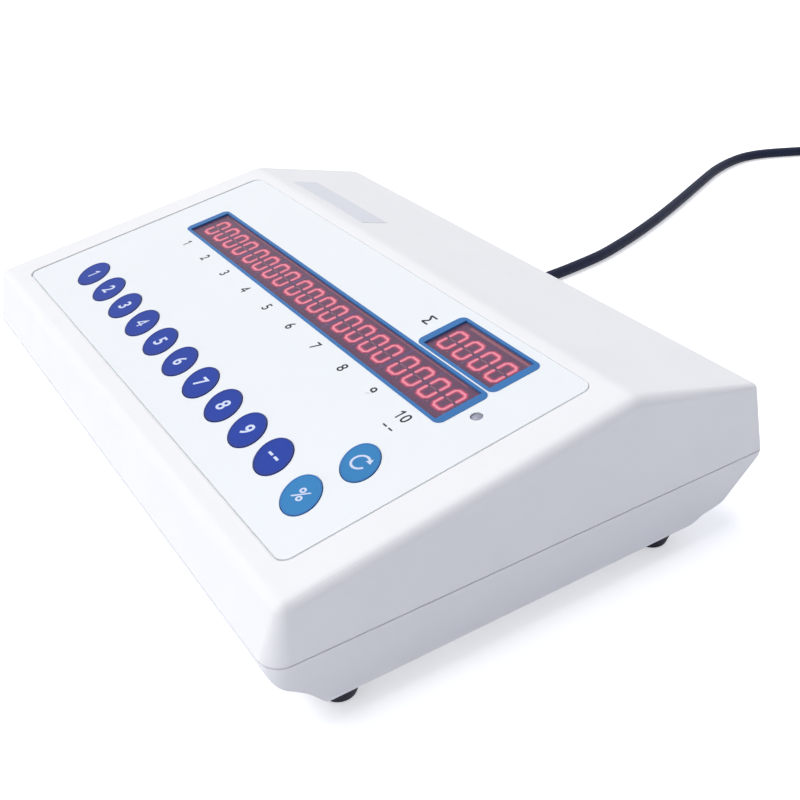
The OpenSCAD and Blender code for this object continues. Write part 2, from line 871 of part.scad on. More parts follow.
module strain_relief() {
  color([0.09, 0.1, 0.12])
    on_entry()
      difference() {
        union() {
          cylinder(r = 7.5, h = 2.4, $fn = 48);
          translate([0, 0, -entry_l - 2]) cylinder(r = 4.8, h = entry_l + 3, $fn = 48);
          translate([0, 0, -entry_l - 4]) cylinder(r = 7, h = 4, $fn = 48);
          translate([0, 0, 2]) cylinder(r1 = 5.4, r2 = lead_r + 0.7, h = relief_l - 2, $fn = 48);
        }
        for (i = [0:2])
          translate([0, 0, 6 + i * 4.5])
            difference() {
              cylinder(r = 7, h = 1.6, $fn = 48);
              translate([0, 0, -1]) cylinder(r = lead_r + 0.5, h = 4, $fn = 48);
            }
      }
}

// End of the strain relief and its direction, in the part frame
relief_dir = [0, cos(entry_tip), -sin(entry_tip)];
relief_end = [lead_x, entry_y, entry_z] + relief_l * relief_dir;

function tangent(P, i) = unit(P[min(i + 1, len(P) - 1)] - P[max(i - 1, 0)]);

// Tube along the points P: rings square to the path, n sides, given end directions
module tube(P, r, n, d0, d1) {
  last = len(P) - 1;
  rings = [for (i = [0:last])
    let (t = i == 0 ? d0 : (i == last ? d1 : tangent(P, i)),
         s = unit(cross(t, [0, 0, 1])),
         u = cross(s, t))
      [for (k = [0:n - 1])
        P[i] + r * (cos((k + 0.5) * 360 / n) * s + sin((k + 0.5) * 360 / n) * u)]];
  polyhedron(
    points = [for (g = rings) for (p = g) p],
    faces = concat(
      [[for (k = [0:n - 1]) k]],
      [[for (k = [n - 1:-1:0]) last * n + k]],
      [for (i = [0:last - 1]) for (k = [0:n - 1])
        let (a = i * n + k, b = i * n + (k + 1) % n)
          [a, a + n, b]],
      [for (i = [0:last - 1]) for (k = [0:n - 1])
        let (b = i * n + (k + 1) % n, a = i * n + k)
          [b, a + n, b + n]]),
    convexity = 12);
}

// Free stretch: out of the relief, down to the bench, then along it
lead_low = lead_r + 0.1;
lead_head = 63;
lead_out = [cos(lead_head), sin(lead_head), 0];
lead_end = [-105, 545, lead_low];

LEAD_POINTS = concat(
  [relief_end, relief_end + 7 * relief_dir],
  [[lead_x, 138, 12.6], [lead_x - 0.5, 148, 9], [lead_x - 1, 158, 5.8], [lead_x - 1.5, 169, 3.7]],
  [[-73.5, 183, lead_low], [-75, 200, lead_low], [-79, 227, lead_low], [-85, 249, lead_low],
   [-93, 273, lead_low], [-104, 302, lead_low], [-118, 335, lead_low], [-134, 371, lead_low],
   [-145, 397, lead_low], [-151, 418, lead_low], [-153, 436, lead_low], [-150, 453, lead_low],
   [-142, 472, lead_low], [-131, 494, lead_low], [-118, 519.5, lead_low], lead_end]);

module lead() {
  color([0.12, 0.14, 0.18])
    tube(smooth(LEAD_POINTS, 3), lead_r, 10, relief_dir, lead_out);
}

// Coil: winds in on the bench, climbs one layer, winds out, then leaves for the plug
coil_in = 26;
coil_step = lead_d + 0.6;
coil_mid = 900;
coil_all = 1800;
coil_leave = 140;
coil_out = coil_in + coil_step * coil_mid / 360;
coil_start = lead_end + lead_d * lead_out;
coil_c = coil_start + coil_out * [sin(lead_head), -cos(lead_head), 0];
plug_h = 17;
plug_low = plug_h / 2 + 0.1;

function ease(t) = let (c = max(0, min(1, t))) c * c * (3 - 2 * c);

function coil_radius(a) = coil_in + coil_step * abs(a - coil_mid) / 360
  + (a > coil_all ? 3 * coil_step * (a - coil_all) / 360 : 0);

function coil_height(a) = lead_low + coil_step * ease((a - coil_mid + 90) / 180)
  + (plug_low - lead_low - coil_step) * ease((a - coil_all) / coil_leave);

function coil_point(a) = [
  coil_c[0] + coil_radius(a) * cos(lead_head + 90 - a),
  coil_c[1] + coil_radius(a) * sin(lead_head + 90 - a),
  coil_height(a)];

coil_turn = [for (a = [0:15:coil_all + coil_leave]) coil_point(a)];
coil_exit = lead_head - coil_leave;
coil_dir = [cos(coil_exit), sin(coil_exit), 0];
coil_last = coil_turn[len(coil_turn) - 1];
coil_end = [coil_last[0], coil_last[1], plug_low] + (lead_d + 2) * coil_dir;
COIL_POINTS = concat([lead_end], coil_turn, [coil_end]);

// Least clear gap between turns of the coil, more than a third of a turn apart
coil_gap = min([for (i = [0:len(COIL_POINTS) - 1])
  min([1000, for (j = [i + 8:1:len(COIL_POINTS) - 1]) norm(COIL_POINTS[i] - COIL_POINTS[j])])])
  - lead_d;
echo(coil_least_gap = coil_gap);

function path_length(P) = len(P) < 2 ? 0 :
  [for (i = 0, l = 0; i < len(P); i = i + 1,
        l = l + (i < len(P) ? norm(P[i] - P[i - 1]) : 0)) l][len(P) - 1];
echo(lead_length = path_length(smooth(LEAD_POINTS, 3)) + path_length(COIL_POINTS));

module lead_coil() {
  color([0.12, 0.14, 0.18]) tube(COIL_POINTS, lead_r, 6, lead_out, coil_dir);
}

module on_plug() {
  translate(coil_end) rotate([0, 0, coil_exit]) rotate([0, 90, 0]) children();
}

module plug_body() {
  color([0.1, 0.11, 0.13])
    on_plug() {
      difference() {
        cylinder(r1 = lead_r + 1.2, r2 = 6, h = 18, $fn = 48);
        for (i = [0:2])
          translate([0, 0, 4 + i * 4.5])
            difference() {
              cylinder(r = 8, h = 1.5, $fn = 48);
              translate([0, 0, -1]) cylinder(r = lead_r + 0.9, h = 4, $fn = 48);
            }
      }
      translate([0, 0, 17]) linear_extrude(7) round_rect(plug_h - 3, 22, 5);
      translate([0, 0, 24]) linear_extrude(14) round_rect(plug_h, 30, 6);
      translate([0, 0, 38]) linear_extrude(3) round_rect(plug_h - 1, 34, 6);
    }
}

module plug_pins() {
  color([0.75, 0.68, 0.5])
    on_plug()
      for (q = [[3.2, 7, -30], [3.2, -7, 30], [-4, 0, 90]])
        translate([q[0], q[1], 41])
          rotate(q[2])
            linear_extrude(18) round_rect(6.3, 1.5, 0.6);
}

upper_shell();
lower_shell();
case_screws();
overlay();
frame_long();
frame_sum();
film_long();
film_sum();
key_1();
key_2();
key_3();
key_4();
key_5();
key_6();
key_7();
key_8();
key_9();
key_10();
key_percent();
key_reset();
module_1();
module_2();
module_3();
module_4();
module_5();
module_6();
module_7();
module_8();
module_9();
module_10();
module_sum_1();
module_sum_2();
status_led();
key_switches();
display_board();
driver_chips();
board_screws();
ribbon();
main_board();
main_parts();
processor();
buzzer();
capacitor();
transformer_core();
transformer_coil();
power_body();
power_rocker();
fuse_holder();
fuse_cap();
fuse();
foot_fl();
foot_fr();
foot_rl();
foot_rr();
strain_relief();
lead();
lead_coil();
plug_body();
plug_pins();
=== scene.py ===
"""Differential cell counter: finishes, printed marks, lit digits and the mains lead."""
import json
import math

import bmesh
import bpy
from mathutils import Matrix, Vector

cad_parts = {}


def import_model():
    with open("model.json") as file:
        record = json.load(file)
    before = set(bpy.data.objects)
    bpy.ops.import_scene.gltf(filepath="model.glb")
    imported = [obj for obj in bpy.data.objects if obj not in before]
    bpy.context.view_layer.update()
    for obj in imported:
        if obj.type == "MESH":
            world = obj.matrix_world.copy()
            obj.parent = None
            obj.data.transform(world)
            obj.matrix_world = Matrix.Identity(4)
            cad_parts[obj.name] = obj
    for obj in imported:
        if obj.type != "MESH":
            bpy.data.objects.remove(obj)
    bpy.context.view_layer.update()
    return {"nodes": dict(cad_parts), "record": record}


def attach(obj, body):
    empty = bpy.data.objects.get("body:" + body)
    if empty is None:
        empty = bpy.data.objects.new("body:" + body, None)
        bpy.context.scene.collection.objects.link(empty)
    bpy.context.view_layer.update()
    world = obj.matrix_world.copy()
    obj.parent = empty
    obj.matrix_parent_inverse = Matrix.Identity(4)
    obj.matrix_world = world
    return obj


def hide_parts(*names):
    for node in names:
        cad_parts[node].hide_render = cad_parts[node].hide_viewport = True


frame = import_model()

MM = 0.001

# ---------- driving sizes, in millimetres and degrees ----------

CASE_D = 211.0
FRONT_LEAN = 5.5
FRONT_H = 56.0
MARGIN_FRONT = 8.8
PANEL_SLOPE = 9.75
PANEL_LENGTH = 139.0
ROOF_FALL = 13.9

CHANNELS = 10
LIGHT_KEYS = ["key_percent", "key_reset"]
KEYS = [f"key_{i}" for i in range(1, CHANNELS + 1)] + LIGHT_KEYS
KEY_A = 9.7
KEY_B = 6.7
KEY_TILT = 45.0

LEAD_D = 6.4
ENTRY = Vector((-71.0, 102.0, 24.168))
ENTRY_TIP = 15.0
RELIEF_L = 20.0


def sind(angle):
    return math.sin(math.radians(angle))


def cosd(angle):
    return math.cos(math.radians(angle))


# ---------- places taken from the frame ----------

FRONT_Y = -CASE_D / 2 + FRONT_LEAN


def on_slope(reach):
    """Point of the panel's sloped plane that far behind its front edge."""
    y, z = FRONT_Y + reach * cosd(PANEL_SLOPE), FRONT_H + reach * sind(PANEL_SLOPE)
    return MM * Vector((0, y, z))


PANEL = (Matrix.Translation(on_slope(MARGIN_FRONT))
         @ Matrix.Rotation(math.radians(PANEL_SLOPE), 4, "X"))
ROOF = (Matrix.Translation(on_slope(PANEL_LENGTH))
        @ Matrix.Rotation(-math.radians(ROOF_FALL), 4, "X"))


def panel_box(node):
    """Lowest and highest corner of a node in the panel's own frame, in millimetres."""
    back = PANEL.inverted()
    points = [back @ v.co / MM for v in frame["nodes"][node].data.vertices]
    low = Vector(min(p[i] for p in points) for i in range(3))
    high = Vector(max(p[i] for p in points) for i in range(3))
    return low, high


def panel_centre(node):
    low, high = panel_box(node)
    return (low + high) / 2


OVERLAY_TOP = panel_box("overlay")[1].z
MODULE_TOP = panel_box("module_1")[1].z
FILM_UNDER, FILM_TOP = (corner.z for corner in panel_box("film_long"))
KEY_TOP = panel_box("key_1")[1].z

# ---------- materials ----------


def tone(r, g, b):
    """Linear colour of an 8-bit display colour."""
    def channel(c):
        c = c / 255
        return c / 12.92 if c <= 0.04045 else ((c + 0.055) / 1.055) ** 2.4
    return (channel(r), channel(g), channel(b), 1.0)


def scaled(colour, share):
    return tuple(c * share for c in colour[:3]) + (1.0,)


class Surface:
    """A principled material whose colour, roughness and relief come from noise."""

    def __init__(self, name):
        self.material = bpy.data.materials.new(name)
        self.material.use_nodes = True
        self.tree = self.material.node_tree
        self.shader = self.tree.nodes["Principled BSDF"]
        self.coords = self.tree.nodes.new("ShaderNodeTexCoord")

    def node(self, kind, **values):
        made = self.tree.nodes.new(kind)
        for key, value in values.items():
            setattr(made, key, value)
        return made

    def link(self, source, target):
        self.tree.links.new(source, target)

    def noise(self, scale, detail, stretch):
        texture = self.node("ShaderNodeTexNoise")
        texture.inputs["Scale"].default_value = scale
        texture.inputs["Detail"].default_value = detail
        if stretch is None:
            self.link(self.coords.outputs["Object"], texture.inputs["Vector"])
        else:
            mapping = self.node("ShaderNodeMapping")
            mapping.inputs["Scale"].default_value = stretch
            self.link(self.coords.outputs["Object"], mapping.inputs["Vector"])
            self.link(mapping.outputs["Vector"], texture.inputs["Vector"])
        return texture.outputs["Fac"]

    def ramp(self, source, stops):
        ramp = self.node("ShaderNodeValToRGB")
        elements = ramp.color_ramp.elements
        elements[0].position, elements[0].color = stops[0]
        elements[1].position, elements[1].color = stops[-1]
        for place, colour in stops[1:-1]:
            elements.new(place).color = colour
        self.link(source, ramp.inputs["Fac"])
        return ramp.outputs["Color"]

    def mottle(self, colour, spread, scale=40.0, stretch=None):
        """Colour that wanders a little round its mean."""
        noise = self.noise(scale, detail=4.0, stretch=stretch)
        stops = [(0.3, scaled(colour, 1 - spread)), (0.7, scaled(colour, 1 + spread))]
        self.link(self.ramp(noise, stops), self.shader.inputs["Base Color"])
        return self

    def roughness(self, low, high, scale=300.0, stretch=None):
        span = self.node("ShaderNodeMapRange")
        span.inputs["To Min"].default_value = low
        span.inputs["To Max"].default_value = high
        self.link(self.noise(scale, detail=3.0, stretch=stretch), span.inputs["Value"])
        self.link(span.outputs["Result"], self.shader.inputs["Roughness"])
        return self

    def relief(self, height, scale, strength, stretch=None):
        """Bump of that height in millimetres."""
        bump = self.node("ShaderNodeBump")
        bump.inputs["Strength"].default_value = strength
        bump.inputs["Distance"].default_value = height * MM
        self.link(self.noise(scale, detail=2.0, stretch=stretch), bump.inputs["Height"])
        self.link(bump.outputs["Normal"], self.shader.inputs["Normal"])
        return self

    def set(self, **values):
        for key, value in values.items():
            self.shader.inputs[key.replace("_", " ")].default_value = value
        return self


def moulded(name, colour, spread, rough=(0.42, 0.52), grain=0.03, scale=1600.0):
    """Injection-moulded plastic with a fine spark-eroded grain."""
    surface = Surface(name).mottle(colour, spread).roughness(*rough)
    return surface.relief(grain, scale, strength=0.5)


def metal(name, colour, rough=(0.25, 0.4), stretch=(1, 1, 30)):
    """Bare metal with fine lines across the direction of the largest stretch."""
    surface = Surface(name).mottle(colour, spread=0.06, scale=300.0, stretch=stretch)
    surface.roughness(*rough, scale=700.0, stretch=stretch)
    surface.relief(0.02, scale=900.0, strength=0.4, stretch=stretch)
    return surface.set(Metallic=1.0)


def rubber(name, colour, grain=0.02):
    surface = Surface(name).mottle(colour, spread=0.18, scale=160.0).roughness(0.5, 0.65)
    return surface.relief(grain, scale=1400.0, strength=0.6).set(Specular_IOR_Level=0.2)


def printed(name, colour):
    surface = moulded(name, colour, spread=0.05, rough=(0.34, 0.44), grain=0.006, scale=2600.0)
    return surface.set(Specular_IOR_Level=0.2)


def painted_glow_print(name, colour, power):
    """Print with a painted glow: its own colour as emission, in place of the light the film keeps
    out.
    """
    surface = printed(name, colour)
    return surface.set(Emission_Color=colour, Emission_Strength=power)


def case_white():
    surface = moulded("case_white", tone(244, 244, 244), spread=0.01)
    return surface.set(Specular_IOR_Level=0.4)


def tray_grey():
    surface = moulded("tray_grey", tone(240, 240, 242), spread=0.01)
    return surface.set(Specular_IOR_Level=0.4)


def overlay_sheet():
    surface = moulded("overlay_sheet", tone(241, 245, 246), spread=0.004,
                      rough=(0.3, 0.36), grain=0.008, scale=2600.0)
    return surface.set(Specular_IOR_Level=0.4)


def red_window():
    surface = Surface("red_window").mottle(tone(128, 92, 120), spread=0.05, scale=90.0)
    return surface.roughness(0.12, 0.18).set(Alpha=0.56, Specular_IOR_Level=0.25)


def module_red():
    return moulded("module_red", tone(96, 52, 74), spread=0.05, rough=(0.5, 0.6), grain=0.003)


def lit_digits():
    """Light that is strongest along the middle of each stroke and dies out beside it."""
    surface = Surface("lit_digits").mottle(tone(90, 40, 55), spread=0.05).set(Roughness=0.4)
    stroke = surface.node("ShaderNodeAttribute", attribute_name="stroke")
    colour = surface.ramp(stroke.outputs["Fac"], [
        (0.0, tone(150, 30, 60)), (0.42, tone(255, 44, 76)),
        (0.62, tone(255, 118, 132)), (1.0, tone(255, 182, 190))])
    surface.link(colour, surface.shader.inputs["Emission Color"])
    power = surface.node("ShaderNodeMapRange")
    power.inputs["From Max"].default_value = 0.6
    power.inputs["To Min"].default_value = 0.0
    power.inputs["To Max"].default_value = 3.4
    surface.link(stroke.outputs["Fac"], power.inputs["Value"])
    surface.link(power.outputs["Result"], surface.shader.inputs["Emission Strength"])
    return surface


def board_green():
    """Solder mask with tracks that run along Y."""
    tracks = (1, 0.05, 1)
    surface = Surface("board_green").mottle(tone(22, 98, 56), 0.25, scale=500.0, stretch=tracks)
    surface.roughness(0.3, 0.45)
    return surface.relief(0.02, scale=500.0, strength=0.6, stretch=tracks)


def ribbon_grey():
    """Flat cable with its wires side by side along X."""
    wires = (1, 0.01, 0.01)
    surface = Surface("ribbon_grey").mottle(tone(172, 172, 176), 0.14, scale=900.0, stretch=wires)
    surface.roughness(0.45, 0.6)
    return surface.relief(0.1, scale=900.0, strength=0.8, stretch=wires)


def coil_tape():
    surface = Surface("coil_tape")
    surface.mottle(tone(214, 168, 60), spread=0.12, scale=120.0, stretch=(0.2, 1, 3))
    return surface.roughness(0.3, 0.5)


def makers():
    """One finish for each material slot of the record."""
    return {
        "case_white": case_white,
        "tray_grey": tray_grey,
        "overlay_sheet": overlay_sheet,
        "frame_blue": lambda: printed("frame_blue", tone(52, 116, 178)),
        "red_window": red_window,
        "key_dark_blue": lambda: printed("key_dark_blue", tone(10, 55, 157)),
        "key_light_blue": lambda: printed("key_light_blue", tone(46, 130, 189)),
        "module_red": module_red,
        "led_lens": lambda: moulded("led_lens", tone(156, 158, 174), 0.05, rough=(0.15, 0.25)),
        "black_plastic": lambda: moulded("black_plastic", tone(30, 31, 34), 0.15),
        "board_green": board_green,
        "ribbon_grey": ribbon_grey,
        "cap_sleeve": lambda: moulded("cap_sleeve", tone(34, 44, 88), 0.1, rough=(0.2, 0.3)),
        "core_steel": lambda: metal("core_steel", tone(120, 120, 124), (0.35, 0.5), (1, 40, 1)),
        "coil_tape": coil_tape,
        "screw_steel": lambda: metal("screw_steel", tone(190, 190, 194)),
        "rocker_red": lambda: moulded("rocker_red", tone(188, 30, 34), 0.05, rough=(0.25, 0.35)),
        "fuse_metal": lambda: metal("fuse_metal", tone(205, 207, 212), rough=(0.15, 0.25)),
        "lead_black": lambda: rubber("lead_black", tone(18, 26, 52)),
        "foot_rubber": lambda: rubber("foot_rubber", tone(5, 12, 34), grain=0.04),
        "pin_brass": lambda: metal("pin_brass", tone(206, 184, 120), rough=(0.2, 0.3)),
    }


def print_makers():
    """Finishes of the pieces that only this script adds."""
    return {
        "print_dark": lambda: printed("print_dark", tone(40, 42, 50)),
        "print_white": lambda: printed("print_white", tone(214, 224, 246)),
        "rim_dark": lambda: printed("rim_dark", tone(38, 56, 128)),
        "rim_light": lambda: printed("rim_light", tone(52, 118, 184)),
        "lit_digits": lit_digits,
        # unlit segments, with a painted glow that lightens them under the film
        "dim_segment": lambda: painted_glow_print("dim_segment", tone(190, 140, 130), power=0.45),
        # seams between modules, with a painted glow that lightens them under the film
        "seam": lambda: painted_glow_print("seam", tone(60, 110, 214), power=0.3),
        # module edge strips, with a painted glow that lightens them under the film
        "edge_strip": lambda: painted_glow_print("edge_strip", tone(214, 134, 112), power=0.95),
        "label_grey": lambda: moulded("label_grey", tone(222, 225, 230), spread=0.01,
                                      rough=(0.35, 0.45), grain=0.01),
    }


FINISH = {slot: make().material for slot, make in (makers() | print_makers()).items()}
SHARP_ABOVE = 24.0
WELD_GAP = 0.002


def smoothing_group(limit):
    """Node group: faces shade smooth, edges sharper than the limit stay sharp."""
    group = bpy.data.node_groups.new("smooth_by_angle", "GeometryNodeTree")
    group.interface.new_socket("Geometry", in_out="INPUT", socket_type="NodeSocketGeometry")
    group.interface.new_socket("Geometry", in_out="OUTPUT", socket_type="NodeSocketGeometry")
    nodes, links = group.nodes, group.links
    start, end = nodes.new("NodeGroupInput"), nodes.new("NodeGroupOutput")
    drop = nodes.new("GeometryNodeRemoveAttribute")
    drop.inputs["Name"].default_value = "custom_normal"
    faces = nodes.new("GeometryNodeSetShadeSmooth")
    edges = nodes.new("GeometryNodeSetShadeSmooth")
    edges.domain = "EDGE"
    edges.inputs["Shade Smooth"].default_value = False
    angle = nodes.new("GeometryNodeInputMeshEdgeAngle")
    compare = nodes.new("FunctionNodeCompare")
    compare.inputs["B"].default_value = math.radians(limit)
    links.new(angle.outputs["Unsigned Angle"], compare.inputs["A"])
    links.new(compare.outputs["Result"], edges.inputs["Selection"])
    links.new(start.outputs["Geometry"], drop.inputs["Geometry"])
    links.new(drop.outputs["Geometry"], faces.inputs["Geometry"])
    links.new(faces.outputs["Geometry"], edges.inputs["Geometry"])
    links.new(edges.outputs["Geometry"], end.inputs["Geometry"])
    return group


SMOOTH = smoothing_group(SHARP_ABOVE)


def smooth(piece):
    weld = piece.modifiers.new("weld", "WELD")
    weld.merge_threshold = WELD_GAP * MM
    piece.modifiers.new("smooth", "NODES").node_group = SMOOTH
    weighted = piece.modifiers.new("weighted", "WEIGHTED_NORMAL")
    weighted.keep_sharp = True
    weighted.weight = 90


def dress_cad_nodes():
    for part in frame["record"]["subparts"]:
        piece = frame["nodes"][part["node"]]
        finish = FINISH[part["material_slot"]]
        if not piece.material_slots:
            piece.data.materials.append(finish)
        for material_slot in piece.material_slots:
            material_slot.material = finish
    for node in ("upper_shell", "lower_shell"):
        smooth(frame["nodes"][node])


# ---------- building pieces on the panel ----------

OVAL_STEPS = 72


def add_piece(name, mesh, finish, body="case"):
    piece = bpy.data.objects.new(name, mesh)
    bpy.context.scene.collection.objects.link(piece)
    piece.data.materials.clear()
    piece.data.materials.append(FINISH[finish])
    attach(piece, body)
    return piece


def prisms(name, outlines, low, high, place=PANEL):
    """Mesh of flat plates: each closed outline, in millimetres, between two heights."""
    made = bmesh.new()
    for outline in outlines:
        floor = [made.verts.new((x * MM, y * MM, low * MM)) for x, y in outline]
        roof = [made.verts.new((x * MM, y * MM, high * MM)) for x, y in outline]
        count = len(outline)
        made.faces.new(roof)
        made.faces.new(floor[::-1])
        for i in range(count):
            j = (i + 1) % count
            made.faces.new((floor[i], floor[j], roof[j], roof[i]))
    bmesh.ops.recalc_face_normals(made, faces=made.faces)
    mesh = bpy.data.meshes.new(name)
    made.to_mesh(mesh)
    made.free()
    mesh.transform(place)
    return mesh


def joined(name, meshes):
    made = bmesh.new()
    for mesh in meshes:
        made.from_mesh(mesh)
    mesh = bpy.data.meshes.new(name)
    made.to_mesh(mesh)
    made.free()
    return mesh


def bar(start, end, width):
    """Outline of a straight stroke."""
    a, b = Vector(start), Vector(end)
    along = (b - a).normalized()
    side = Vector((-along.y, along.x)) * width / 2
    return [tuple(a - side), tuple(b - side), tuple(b + side), tuple(a + side)]


def ring(inner, outer):
    """Outlines of the quads between two closed loops of as many points."""
    count = len(inner)
    return [[inner[i], outer[i], outer[(i + 1) % count], inner[(i + 1) % count]]
            for i in range(count)]


def oval(a, b, centre):
    """Points of the tilted key oval with these half axes."""
    points = []
    for i in range(OVAL_STEPS):
        x, y = a * cosd(i * 360 / OVAL_STEPS), b * sind(i * 360 / OVAL_STEPS)
        points.append((centre[0] + x * cosd(KEY_TILT) + y * sind(KEY_TILT),
                       centre[1] - x * sind(KEY_TILT) + y * cosd(KEY_TILT)))
    return points


# ---------- printed figures ----------

INK = 0.04

# shares of a figure's height
ONE_STEM = 0.1
ONE_THICK = 0.14
ONE_FLAG_REACH = 0.28
ONE_FLAG_DROP = 0.26
FOUR_STEM = 0.16
FOUR_THICK = 0.13
FOUR_LEFT = 0.34
FOUR_RIGHT = 0.36
FOUR_RAIL = 0.2
FIGURE_SHIFT = 0.4


def glyph_mesh(name, text, height, centre, low, bold):
    """Printed characters of that height, centred on a point of the panel."""
    curve = bpy.data.curves.new(name, "FONT")
    curve.body = text
    curve.extrude = 0.5
    curve.offset = bold
    writer = bpy.data.objects.new(name, curve)
    bpy.context.scene.collection.objects.link(writer)
    bpy.context.view_layer.update()
    graph = bpy.context.evaluated_depsgraph_get()
    mesh = bpy.data.meshes.new_from_object(writer.evaluated_get(graph))
    bpy.data.objects.remove(writer)
    xs = [v.co.x for v in mesh.vertices]
    ys = [v.co.y for v in mesh.vertices]
    size = height * MM / (max(ys) - min(ys))
    middle = Vector(((max(xs) + min(xs)) / 2, (max(ys) + min(ys)) / 2, 0))
    mesh.transform(Matrix.Translation(-middle))
    mesh.transform(Matrix.Diagonal((size, size, INK * MM, 1)))
    mesh.transform(Matrix.Translation(MM * Vector((centre[0], centre[1], low + INK / 2))))
    mesh.transform(PANEL)
    return mesh


def one_mesh(height, centre, low):
    """Figure one with a flag, drawn as two strokes."""
    x, top = centre[0] + ONE_STEM * height, centre[1] + height / 2
    thick = ONE_THICK * height
    flag_end = (x - ONE_FLAG_REACH * height, top - ONE_FLAG_DROP * height)
    strokes = [bar((x, top - height), (x, top), thick),
               bar((x, top - thick / 2), flag_end, thick)]
    return prisms("one", strokes, low, low + INK)


def four_mesh(height, centre, low):
    """Figure four, drawn as three strokes."""
    x, y = centre
    thick = FOUR_THICK * height
    stem, left = x + FOUR_STEM * height, x - FOUR_LEFT * height
    top, rail = y + height / 2, y - FOUR_RAIL * height
    strokes = [bar((stem, y - height / 2), (stem, top), thick),
               bar((left, rail), (x + FOUR_RIGHT * height, rail), thick),
               bar((left + thick / 2, rail), (stem, top - thick / 2), thick)]
    return prisms("four", strokes, low, low + INK)


def figures_mesh(text, height, centre, low, bold):
    """Whole number; a four and a leading one are drawn as strokes."""
    if text == "4":
        return four_mesh(height, centre, low)
    if not text.startswith("1"):
        return glyph_mesh("figures", text, height, centre, low, bold)
    if text == "1":
        return one_mesh(height, centre, low)
    x, y = centre
    shift = FIGURE_SHIFT * height
    tens = one_mesh(height, (x - shift, y), low)
    units = glyph_mesh("figures", text[1:], height, (x + shift, y), low, bold)
    return joined("figures", [tens, units])


# ---------- printed marks ----------

NUMBER_V = 67.4
NUMBER_X = -92.0
NUMBER_STEP = 20.6
NUMBER_H = 4.7
NUMBER_BOLD = 0.01

# half length and width of a dash, and half their spacing as a share of the half length
CHANNEL_DASH = (1.15, 0.65)
KEY_DASH = (1.3, 1.0)
DASH_SPREAD = 1.45
DASH_SHIFT = (1.2, -7.2)

SIGN_CENTRE = (50.0, 108.7)
SIGN_W = 3.8
SIGN_H = 4.8
SIGN_BAR = 0.8
SIGN_ARM = 0.9
SIGN_TIP = 0.1

KEY_RIM = 0.55
RIM_T = 0.06
KEY_NUMBER_H = 5.9
KEY_BOLD = 0.02
PERCENT_H = 5.5
PERCENT_BOLD = 0.012

ARROW_R = 3.2
ARROW_W = 0.9
ARROW_START = 60.0
ARROW_SWEEP = 285.0
ARROW_STEPS = 40

# shares of the arrow's stroke width
HEAD_WING = 1.5
HEAD_L = 2.4


def dashes(centre, reach, width):
    """Two short strokes side by side."""
    x, y = centre
    return [bar((x + (side * DASH_SPREAD - 1) * reach, y),
                (x + (side * DASH_SPREAD + 1) * reach, y), width) for side in (-1, 1)]


def channel_numbers():
    """Number of each channel, and the dashes under the last one."""
    meshes = []
    for i in range(CHANNELS):
        centre = (NUMBER_X + NUMBER_STEP * i, NUMBER_V)
        meshes.append(figures_mesh(str(i + 1), NUMBER_H, centre, OVERLAY_TOP, NUMBER_BOLD))
    last_x = NUMBER_X + NUMBER_STEP * (CHANNELS - 1)
    strokes = dashes((last_x + DASH_SHIFT[0], NUMBER_V + DASH_SHIFT[1]), *CHANNEL_DASH)
    meshes.append(prisms("dashes", strokes, OVERLAY_TOP, OVERLAY_TOP + INK))
    add_piece("channel_numbers", joined("channel_numbers", meshes), "print_dark")


def sum_sign():
    """Capital sigma over the short display, drawn as four strokes."""
    x, y = SIGN_CENTRE
    w, h = SIGN_W / 2, SIGN_H / 2
    tip = (x + SIGN_TIP * w, y)
    strokes = [bar((x - w, y + h), (x + w, y + h), SIGN_BAR),
               bar((x - w, y - h), (x + w, y - h), SIGN_BAR),
               bar((x - w, y + h), tip, SIGN_ARM),
               bar(tip, (x - w, y - h), SIGN_ARM)]
    add_piece("sum_sign", prisms("sum_sign", strokes, OVERLAY_TOP, OVERLAY_TOP + INK), "print_dark")


def arrow_outlines(centre):
    """Open circle with an arrow head, for the key that clears the count."""
    x, y = centre
    near, far = ARROW_R - ARROW_W / 2, ARROW_R + ARROW_W / 2
    inner, outer = [], []
    for i in range(ARROW_STEPS + 1):
        angle = ARROW_START + ARROW_SWEEP * i / ARROW_STEPS
        inner.append((x + near * cosd(angle), y + near * sind(angle)))
        outer.append((x + far * cosd(angle), y + far * sind(angle)))
    quads = [[inner[i], outer[i], outer[i + 1], inner[i + 1]] for i in range(ARROW_STEPS)]
    ahead = Vector((-sind(ARROW_START), cosd(ARROW_START)))
    out = Vector((cosd(ARROW_START), sind(ARROW_START)))
    root = Vector(centre) + ARROW_R * out
    wing = HEAD_WING * ARROW_W * out
    head = [root + wing, root - wing, root - HEAD_L * ARROW_W * ahead]
    return quads + [[tuple(p) for p in head]]


def key_mark(node, centre):
    if node == "key_reset":
        return prisms("mark", arrow_outlines(centre), KEY_TOP, KEY_TOP + INK)
    if node == "key_percent":
        return glyph_mesh("mark", "%", PERCENT_H, centre, KEY_TOP, PERCENT_BOLD)
    if node == "key_10":
        return prisms("mark", dashes(centre, *KEY_DASH), KEY_TOP, KEY_TOP + INK)
    return figures_mesh(node[4:], KEY_NUMBER_H, centre, KEY_TOP, KEY_BOLD)


def key_marks():
    for node in KEYS:
        centre = panel_centre(node).xy
        tint = "light" if node in LIGHT_KEYS else "dark"
        rim = ring(oval(KEY_A - KEY_RIM, KEY_B - KEY_RIM, centre), oval(KEY_A, KEY_B, centre))
        mesh = prisms("rim", rim, KEY_TOP, KEY_TOP + RIM_T)
        add_piece(f"rim_{node}", mesh, f"rim_{tint}", node)
        add_piece(f"mark_{node}", key_mark(node, centre), "print_white", node)


# ---------- displays ----------

LONG_MODULES = 10
ROWS = {"long": [f"module_{i}" for i in range(1, LONG_MODULES + 1)],
        "sum": ["module_sum_1", "module_sum_2"]}
ROW_DROP = {"long": 0.0, "sum": 1.0}

